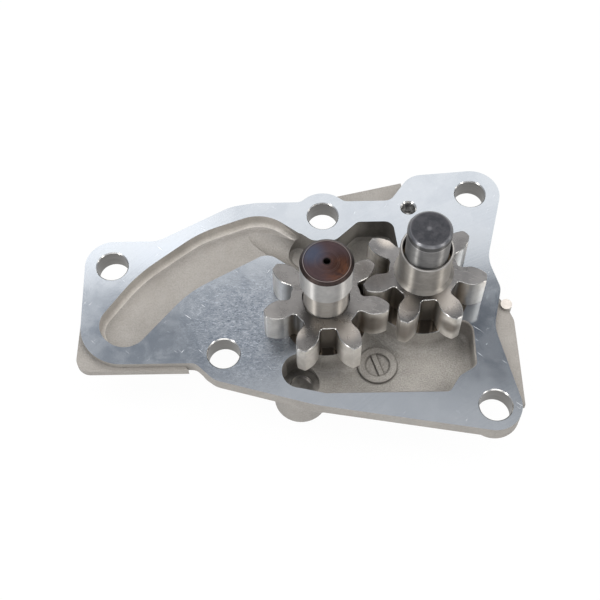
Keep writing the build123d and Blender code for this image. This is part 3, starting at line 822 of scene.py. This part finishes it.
def shaft_finish(centre, normal):
    """Finish of the drive shaft's faces."""
    in_mark = distance_to(centre, DRIVE_AXIS) < CENTRE_MARK_REACH and centre.z > CENTRE_MARK_FOOT
    if centre.z > SHAFT_TOP - 0.0001 or in_mark:
        return SHAFT_END
    if centre.z > SHAFT_TOP - SHAFT_CHAMFER_DEPTH:
        return DARK_CHAMFER
    return JOURNAL if centre.z > JOURNAL_FOOT else NECK


def pin_finish(centre, normal):
    """Finish of the fixed pin's faces."""
    if centre.z > PIN_TOP - 0.0001:
        return PIN_END
    return PIN_CHAMFER if centre.z > PIN_TOP - PIN_CHAMFER_DEPTH else PIN_SIDE


# ---------------------------------------------------- pieces from CAD nodes


def crisp(point):
    """The angle from which an edge is drawn sharp, in degrees; the blend under the hub is soft."""
    return 50.0 if distance_to(point, DRIVEN_AXIS) < HUB_REACH and point.z > HUB_FOOT else 33.0


def round_tips(shape, axis):
    """Rounds the corners between the teeth's tips and flanks by 0.3 mm, as wear does."""
    bmesh.ops.dissolve_limit(
        shape, angle_limit=radians(0.3), verts=shape.verts, edges=shape.edges
    )
    reach = max(distance_to(vert.co, axis) for vert in shape.verts) - 0.0003
    corners = [
        edge
        for edge in shape.edges
        if edge.calc_face_angle(0.0) > radians(25.0)
        and abs(edge.verts[0].co.z - edge.verts[1].co.z) > 0.0001
        and min(distance_to(vert.co, axis) for vert in edge.verts) > reach
    ]
    bmesh.ops.bevel(
        shape,
        geom=corners,
        offset=0.00032,
        segments=3,
        profile=0.5,
        affect="EDGES",
        clamp_overlap=True,
    )
    bmesh.ops.triangulate(shape, faces=shape.faces[:])


def cut_level(shape, height):
    """Cuts the walls across at a height, so that a soft foot doesn't shade the whole wall."""
    bmesh.ops.bisect_plane(
        shape,
        geom=shape.verts[:] + shape.edges[:] + shape.faces[:],
        plane_co=(0, 0, height),
        plane_no=(0, 0, 1),
        dist=1e-7,
    )


def dressed(node, materials, choose, gear_axis=None, cut=None):
    """A welded copy of a CAD node whose faces get their materials by where they lie.

    A gear's tips are rounded about its axis, and a cut is the height of one level cut.
    """
    mesh = frame["nodes"][node].data.copy()
    mesh.name = node + "_dressed"
    mesh.materials.clear()
    for material in materials:
        mesh.materials.append(material)
    shape = bmesh.new()
    shape.from_mesh(mesh)
    bmesh.ops.remove_doubles(shape, verts=shape.verts, dist=0.000002)
    if gear_axis is not None:
        round_tips(shape, gear_axis)
    if cut is not None:
        cut_level(shape, cut)
    shape.normal_update()
    for face in shape.faces:
        face.smooth = True
        face.material_index = materials.index(choose(face.calc_center_median(), face.normal))
    for edge in shape.edges:
        level = [abs(face.normal.z) > 0.99995 for face in edge.link_faces]
        limit = radians(crisp((edge.verts[0].co + edge.verts[1].co) / 2))
        edge.smooth = len(level) == 2 and level[0] == level[1] and edge.calc_face_angle() < limit
    shape.to_mesh(mesh)
    shape.free()
    if "custom_normal" in mesh.attributes:
        mesh.attributes.remove(mesh.attributes["custom_normal"])
    piece = bpy.data.objects.new(node + "_dressed", mesh)
    bpy.context.scene.collection.objects.link(piece)
    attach(piece, BODY_OF[node])
    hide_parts(node)


dressed(
    "pump_cover",
    [CAST, LIT_CAVITY_CAST, LIT_CHANNEL_WALL, SHADED_POCKET_CAST, FACE, BORED, EDGE, PORT_WALL, LUG_FACE],
    cover_finish,
)
dressed(
    "drive_gear",
    [DRIVE_FACE, DRIVE_FLANK, GEAR_EDGE_HIGHLIGHT, GAP_SHADE],
    drive_gear_finish,
    gear_axis=DRIVE_AXIS,
)
dressed(
    "driven_gear",
    [DRIVEN_FACE, DRIVEN_FLANK, GEAR_EDGE_HIGHLIGHT, GAP_SHADE, HUB_SIDE, HUB_RIM],
    driven_gear_finish,
    gear_axis=DRIVEN_AXIS,
    cut=HUB_BLEND_TOP,
)
dressed("drive_shaft", [NECK, JOURNAL, SHAFT_END, DARK_CHAMFER], shaft_finish)
dressed("driven_pin", [PIN_SIDE, PIN_END, PIN_CHAMFER], pin_finish)

PLAIN_NODES = {
    "shaft_bush": BUSH,
    "driven_bush": BUSH,
    "drive_key": VALVE,
    "relief_seat": VALVE,
    "relief_plunger": VALVE,
    "relief_plug": PLUG,
    "shaft_bore_plug": PLUG,
}
for node, material in PLAIN_NODES.items():
    mesh = frame["nodes"][node].data
    mesh.materials.clear()
    mesh.materials.append(material)


def shortening_spring():
    """The valve's spring between plug and plunger, as a copy of its CAD node with a mesh of its own."""
    mesh = frame["nodes"]["relief_spring"].data.copy()
    mesh.name = "relief_spring_coil"
    mesh.materials.clear()
    mesh.materials.append(SPRING)
    coil = bpy.data.objects.new("relief_spring_coil", mesh)
    bpy.context.scene.collection.objects.link(coil)
    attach(coil, BODY_OF["relief_spring"])
    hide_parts("relief_spring")
    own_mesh(coil)


shortening_spring()


# ------------------------------------------------------- jacking hole thread


def thread_tree():
    """A thread's ridge, wound up the wall of a hole."""
    tree = bpy.data.node_groups.new("jacking_thread", "GeometryNodeTree")
    sizes = (("Radius", 0.0025), ("Pitch", 0.001), ("Depth", 0.006), ("Ridge", 0.0004))
    for name, default in sizes:
        socket = tree.interface.new_socket(name, in_out="INPUT", socket_type="NodeSocketFloat")
        socket.default_value = default
    tree.interface.new_socket("Material", in_out="INPUT", socket_type="NodeSocketMaterial")
    tree.interface.new_socket("Geometry", in_out="OUTPUT", socket_type="NodeSocketGeometry")
    given = tree.nodes.new("NodeGroupInput").outputs
    end = tree.nodes.new("NodeGroupOutput")
    spiral = add(
        tree,
        "GeometryNodeCurveSpiral",
        {
            "Resolution": 40,
            "Rotations": math_node(tree, "DIVIDE", given["Depth"], given["Pitch"]),
            "Start Radius": given["Radius"],
            "End Radius": given["Radius"],
            "Height": given["Depth"],
        },
    )
    ridge = add(
        tree, "GeometryNodeCurvePrimitiveCircle", {"Resolution": 3, "Radius": given["Ridge"]}
    )
    swept = add(
        tree,
        "GeometryNodeCurveToMesh",
        {"Curve": spiral.outputs[0], "Profile Curve": ridge.outputs[0], "Fill Caps": True},
    )
    solid = add(tree, "GeometryNodeRealizeInstances", {"Geometry": swept.outputs[0]})
    painted = add(
        tree,
        "GeometryNodeSetMaterial",
        {"Geometry": solid.outputs[0], "Material": given["Material"]},
    )
    tree.links.new(painted.outputs[0], end.inputs["Geometry"])
    return tree


def made_by(tree, name, values, place):
    """Runs a geometry tree, and leaves its result as a plain mesh in its place."""
    holder = bpy.data.objects.new(name + "_maker", bpy.data.meshes.new(name + "_maker"))
    bpy.context.scene.collection.objects.link(holder)
    modifier = holder.modifiers.new("make", "NODES")
    modifier.node_group = tree
    for item in tree.interface.items_tree:
        if item.item_type == "SOCKET" and item.in_out == "INPUT" and item.name in values:
            modifier[item.identifier] = values[item.name]
    shown = holder.evaluated_get(bpy.context.evaluated_depsgraph_get())
    mesh = bpy.data.meshes.new_from_object(shown)
    holder.modifiers.clear()
    bpy.data.objects.remove(holder)
    mesh.transform(Matrix.Translation(place))
    mesh.name = name
    piece = bpy.data.objects.new(name, mesh)
    bpy.context.scene.collection.objects.link(piece)
    return piece


thread = made_by(
    thread_tree(),
    "jacking_thread",
    {"Radius": 0.00258, "Pitch": 0.001, "Depth": 0.0062, "Ridge": 0.00042, "Material": THREAD},
    Vector((JACK_HOLE.x, JACK_HOLE.y, -0.0070)),
)
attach(thread, "cover")


# -------------------------------------------------------------------- studio


def area_light(name, place, width, height, power, colour):
    """A rectangular lamp that faces the foot of the drive shaft."""
    light = bpy.data.lights.new(name, "AREA")
    light.shape = "RECTANGLE"
    light.size, light.size_y = width, height
    light.energy = power
    light.color = colour
    lamp = bpy.data.objects.new(name, light)
    lamp.location = place
    lamp.rotation_mode = "QUATERNION"
    lamp.rotation_quaternion = (DRIVE_AXIS - Vector(place)).to_track_quat("-Z", "Y")
    bpy.context.scene.collection.objects.link(lamp)


def studio_world():
    """Soft light all round: the camera sees plain white, and reflections a cooler tone of it."""
    world = bpy.data.worlds.new("studio")
    bpy.context.scene.world = world
    world.use_nodes = True
    tree = world.node_tree
    tree.nodes.clear()
    path = tree.nodes.new("ShaderNodeLightPath").outputs
    seen = math_node(tree, "MAXIMUM", path["Is Camera Ray"], path["Is Transmission Ray"])
    soft, cool, white = (
        add(tree, "ShaderNodeBackground", {"Color": colour, "Strength": strength}).outputs[0]
        for colour, strength in (((1, 1, 1), 0.5), ((0.92, 0.98, 1.08), 0.5), ((1, 1, 1), 1.0))
    )
    mirrored = add(tree, "ShaderNodeMixShader", {0: path["Is Glossy Ray"], 1: soft, 2: cool})
    both = add(tree, "ShaderNodeMixShader", {0: seen, 1: mirrored.outputs[0], 2: white})
    end = tree.nodes.new("ShaderNodeOutputWorld")
    tree.links.new(both.outputs[0], end.inputs["Surface"])


def studio_floor():
    """A white floor that keeps a faint shadow of the pump."""
    material = bpy.data.materials.new("studio_floor")
    material.use_nodes = True
    tree = material.node_tree
    tree.nodes.clear()
    path = tree.nodes.new("ShaderNodeLightPath").outputs
    seen = math_node(tree, "MAXIMUM", path["Is Camera Ray"], path["Is Glossy Ray"])
    seen = math_node(tree, "MAXIMUM", seen, path["Is Transmission Ray"])
    shaded = add(tree, "ShaderNodeBsdfDiffuse", {"Color": (0.9, 0.9, 0.9)}).outputs[0]
    white = add(tree, "ShaderNodeEmission", {"Color": (1, 1, 1), "Strength": 1.0}).outputs[0]
    both = add(
        tree, "ShaderNodeMixShader", {0: times(tree, seen, 0.96), 1: shaded, 2: white}
    ).outputs[0]
    end = tree.nodes.new("ShaderNodeOutputMaterial")
    tree.links.new(both, end.inputs["Surface"])
    mesh = bpy.data.meshes.new("studio_floor")
    z = FLOOR_Z - 0.0002
    mesh.from_pydata([(-3, -3, z), (3, -3, z), (3, 3, z), (-3, 3, z)], [], [(0, 1, 2, 3)])
    mesh.materials.append(material)
    floor = bpy.data.objects.new("studio_floor", mesh)
    bpy.context.scene.collection.objects.link(floor)


def photograph_camera():
    """The photograph's viewpoint, with its slight roll."""
    data = bpy.data.cameras.new("camera")
    data.sensor_width = 36.0
    data.lens = 70.38
    data.clip_start, data.clip_end = 0.01, 10.0
    camera = bpy.data.objects.new("camera", data)
    place = Vector((-0.0087, -0.19183, 0.35678))
    aim = Vector((-0.0087, 0.00725, 0.0))
    roll = radians(-0.897)
    ahead = (aim - place).normalized()
    level = ahead.cross(Vector((0, 0, 1))).normalized()
    upward = level.cross(ahead)
    right = cos(roll) * level + sin(roll) * upward
    up = -sin(roll) * level + cos(roll) * upward
    turn = Matrix((right, up, -ahead)).transposed()
    camera.rotation_mode = "QUATERNION"
    camera.rotation_quaternion = turn.to_quaternion()
    camera.location = place
    bpy.context.scene.collection.objects.link(camera)
    bpy.context.scene.camera = camera


# Name, place, width and height in metres, power in watts, colour
LAMPS = [
    ("rear_softbox", (0.0, 0.664, 0.748), 0.95, 0.36, 3.2, (1.0, 0.975, 0.94)),
    ("rear_left_softbox", (-0.25, 0.52, 0.84), 0.30, 0.12, 0.16, (1.0, 0.99, 0.98)),
    ("top_softbox", (0.05, 0.20, 0.99), 0.9, 0.49, 2.0, (1.0, 0.97, 0.93)),
    ("left_front_strip", (-0.70, -0.58, 0.44), 0.14, 0.75, 3.4, (1.0, 0.99, 0.97)),
    ("right_front_strip", (0.76, -0.53, 0.44), 0.14, 0.75, 1.9, (1.0, 0.97, 0.93)),
    ("right_strip", (0.90, 0.05, 0.42), 0.12, 0.75, 0.8, (1.0, 0.97, 0.93)),
    ("front_fill", (0.0, -0.92, 0.36), 0.9, 0.3, 2.1, (1.0, 0.98, 0.95)),
    ("left_softbox", (-0.47, -0.05, 0.88), 0.35, 0.5, 2.6, (1.0, 1.0, 1.0)),
    ("right_softbox", (0.47, -0.05, 0.88), 0.35, 0.5, 2.6, (1.0, 0.97, 0.92)),
]

studio_world()
studio_floor()
photograph_camera()
for lamp in LAMPS:
    area_light(*lamp)

bpy.context.scene.view_settings.view_transform = "Standard"
